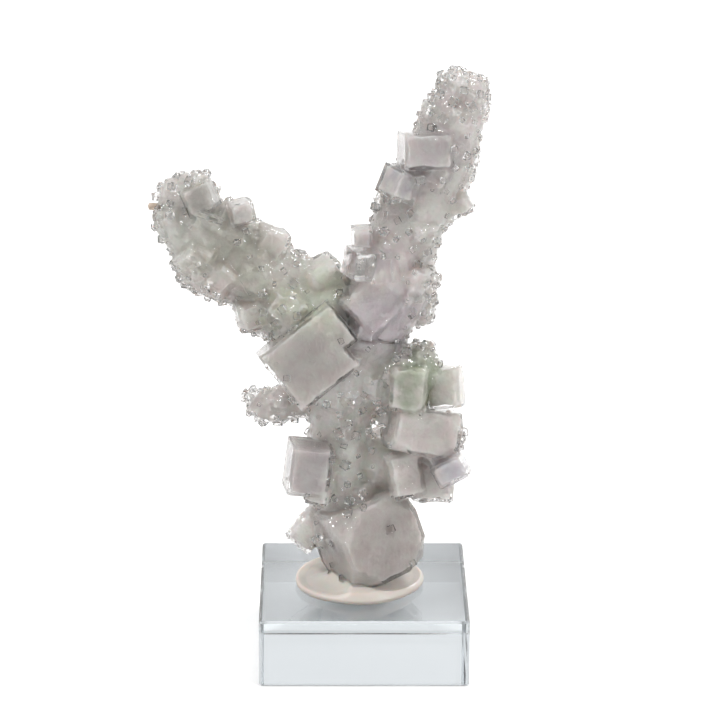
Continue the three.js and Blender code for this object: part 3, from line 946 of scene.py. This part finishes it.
def host_rock():
    material, shader, sockets, _, speck = drifting("host_rock")
    add_bump(shader, sockets, speck, ROCK_GRAIN)
    return material


def paper():
    material, shader, sockets, place = new_material("white_paper")
    fibre = shader.noise(place, PAPER["scale"], PAPER["detail"])
    shader.feed(sockets["Base Color"], shader.mix(fibre, *((grey,) * 3 for grey in PAPER["greys"])))
    shader.feed(sockets["Roughness"], PAPER["roughness"])
    shader.feed(sockets["Specular IOR Level"], PAPER["specular"])
    return material


# ---- Other pieces ----

BLOCK_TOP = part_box("acrylic_block")[1].z
BLOCK_CHAMFER = 0.4
# The putty pad: its middle, mean radius, gap to the block, and how many rings and sides its top is made of.
PAD = {"x": -0.8, "y": -0.5, "radius": 11.75, "gap": 0.02, "rings": 60, "sides": 160}
# Waves round its outline: how many, where they start and how high they are.
PAD_WAVES = [(2, 0.7, 0.16), (5, 2, 0.1)]
# Its underside and edge: shares of the radius, and the heights there.
PAD_EDGE = [
    (0.3, 0), (0.6, 0), (0.93, 0), (0.975, 0.25), (0.995, 0.6), (1, 0.9), (0.995, 1.15), (0.98, 1.34),
]
# Its top: the share of the radius that it takes, the height of its rim, and how far the dish in the middle
# lies below that, at the foot of a slope that takes its own share of the radius.
PAD_TOP = {"share": 0.96, "rim": 1.32, "dish": 0.35, "slope": 0.12}
# The fillet up the crystals: how high it climbs, how fast it falls off away from them, and the height from
# which the nearest crystal is looked for.
FILLET = {"climb": 3.4, "reach": 1.3, "from": 2.2}
PEG = {"from": (-36.6, -1.3, 85.4), "to": (-38.7, -1.5, 85.6), "radius": 0.72, "sides": 9, "rings": 12}
# Its blunt end: the share of its length that rounds off, and the square of the least width there. Then how
# fine and how high its roughness is.
PEG_END, PEG_BLUNT = 0.2, 0.02
PEG_ROUGHNESS = {"fineness": 1.4, "height": 0.22}


def block_mesh():
    """The acrylic block, its polished faces in the first finish and its chamfers in the second."""
    low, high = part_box("acrylic_block")
    bm = bmesh.new()
    place = Matrix.Translation((low + high) / 2) @ Matrix.Diagonal((*(high - low), 1))
    bmesh.ops.create_cube(bm, size=1, matrix=place)
    chamfers = bmesh.ops.bevel(bm, geom=bm.edges[:], offset=BLOCK_CHAMFER * MM, segments=1, affect="EDGES")
    for face in chamfers["faces"]:
        face.material_index = 1
    return mesh_of(bm, "clear_block")


def pad_outline(angle):
    """The pad's radius at an angle, in millimetres: pressed out a little unevenly."""
    waves = (height * math.sin(number * angle + start) for number, start, height in PAD_WAVES)
    return PAD["radius"] + sum(waves)


def fillet_rise(at, crystals):
    """How far the putty climbs at a place, in metres, by the nearest of the crystals that stand in it."""
    probe = Vector((at.x, at.y, BLOCK_TOP + (PAD["gap"] + FILLET["from"]) * MM))
    spot, normal, _, gap = crystals.find_nearest(probe)
    within = (probe - spot).dot(normal) < 0
    return FILLET["climb"] * MM * (1 if within else math.exp(-gap / (FILLET["reach"] * MM)))


def pad_mesh(crystals):
    """A pressed disc of putty: a thin raised rim, a shallow dish, and a fillet up the base crystals."""
    middle = Vector((PAD["x"] * MM, PAD["y"] * MM, BLOCK_TOP + PAD["gap"] * MM))
    top = []
    for ring in range(PAD["rings"]):
        share = PAD_TOP["share"] * (1 - (ring + 0.5) / PAD["rings"])
        slope = min(1, (PAD_TOP["share"] - share) / PAD_TOP["slope"])
        top.append((share, PAD_TOP["rim"] - PAD_TOP["dish"] * slope))
    angles = [2 * math.pi * side / PAD["sides"] for side in range(PAD["sides"])]
    outline = [Vector((math.cos(a), math.sin(a), 0)) * pad_outline(a) * MM for a in angles]
    bm = bmesh.new()
    rings = []
    for share, height in PAD_EDGE + top:
        rings.append([bm.verts.new(middle + out * share + Vector((0, 0, height * MM))) for out in outline])
    for ring in rings[len(PAD_EDGE):]:
        for corner in ring:
            corner.co.z += fillet_rise(corner.co, crystals)
    join_rings(bm, rings)
    bm.faces.new(rings[-1])
    fan(bm, rings[0], middle)
    for face in bm.faces:
        face.smooth = True
    bmesh.ops.recalc_face_normals(bm, faces=bm.faces)
    return mesh_of(bm, "putty_pad")


def peg_mesh():
    """A weathered splinter of host rock."""
    start, end = metres(PEG["from"]), metres(PEG["to"])
    ahead = (end - start).normalized()
    across = ahead.cross(Vector((0, 0, 1))).normalized()
    up = across.cross(ahead)
    bm = bmesh.new()
    rings = []
    for ring in range(PEG["rings"] + 1):
        share = ring / PEG["rings"]
        dome = math.sqrt(max(PEG_BLUNT, 1 - max(0, (share - 1 + PEG_END) / PEG_END) ** 2))
        loop = []
        for side in range(PEG["sides"]):
            angle = 2 * math.pi * side / PEG["sides"]
            out = across * math.cos(angle) + up * math.sin(angle)
            at = start.lerp(end, share) + out * PEG["radius"] * dome * MM
            rough = noise.noise(at / MM * PEG_ROUGHNESS["fineness"]) * PEG_ROUGHNESS["height"]
            loop.append(bm.verts.new(at + out * rough * MM))
        rings.append(loop)
    join_rings(bm, rings)
    bm.faces.new(rings[0])
    bm.faces.new(rings[-1])
    bmesh.ops.recalc_face_normals(bm, faces=bm.faces)
    return mesh_of(bm, "host_rock_peg")


def add_floor(finish):
    bm = bmesh.new()
    bmesh.ops.create_circle(bm, cap_ends=True, segments=FLOOR_SIDES, radius=FLOOR_RADIUS)
    floor = place_object("floor", mesh_of(bm, "floor"))
    floor.location.z = -FLOOR_DROP
    floor.data.materials.append(finish)


# ---- Assembly ----


def add_piece(name, mesh, finishes, node):
    """A visible piece that stands in for a node; a mesh that has its finishes already is given none."""
    piece = place_object(name, mesh)
    for finish in finishes:
        mesh.materials.append(finish)
    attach(piece, "root")
    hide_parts(node)


def add_branches():
    """Of each branch, its clear druse, its cloudy core, and the small clear crystals that stand on it."""
    groups = {"tint": tint_group(), "marks": growth_group()}
    minerals = {name: mineral(name, groups, **values) for name, values in MINERALS.items()}
    tree = grain_tree()
    shapes = {kind: grain_shape(kind, **form) for kind, form in GRAIN_SHAPES.items()}
    skin = fused_limbs()
    paint_skin(skin)
    grains = [grains_on(skin.copy(), tree, kind, shapes[kind], minerals["druse"]) for kind in FUSED_KINDS]
    whole_druse = druse_mesh(skin, grains)
    inner = fused(place_object("inner", shrunk(skin, CLEAR_RIM)), CORE_VOXEL)
    clear_finishes = [minerals[name] for name in ("druse", "crystal", "core")]
    for branch, seams in SECTORS.items():
        clear_part = sector_of(whole_druse, seams, clear_finishes)
        druse = with_crystals(clear_part, branch)
        core = core_mesh(sector_of(inner, seams, (minerals["core"],)), branch)
        ground = druse.copy()
        paint_skin(ground, seams)
        gems = grains_on(ground, tree, "gem", shapes["gem"], minerals["gem"])
        add_piece(f"{branch}_druse", druse, (), branch)
        add_piece(f"{branch}_core", core, (minerals["core"],), branch)
        add_piece(f"{branch}_gems", gems, (), branch)
    for shape in shapes.values():
        bpy.data.objects.remove(shape)


def base_crystals():
    """A search tree over the crystals that stand in the putty, for finding the nearest spot on them."""
    bm = bmesh.new()
    for name, crystal in CRYSTALS["trunk"].items():
        if name.startswith("base"):
            bm.from_mesh(crystal_mesh(crystal))
    tree = BVHTree.FromBMesh(bm)
    bm.free()
    return tree


def build():
    add_branches()
    add_piece("putty_pad", pad_mesh(base_crystals()), (putty(),), "mounting_putty")
    add_piece("host_rock_peg", peg_mesh(), (host_rock(),), "left_branch")
    acrylics = (acrylic("clear_acrylic"), acrylic("acrylic_chamfer"))
    add_piece("clear_block", block_mesh(), acrylics, "acrylic_block")


add_camera()
bpy.context.scene.view_settings.view_transform = "Standard"
add_dome()
add_softboxes()
add_floor(paper())
build()
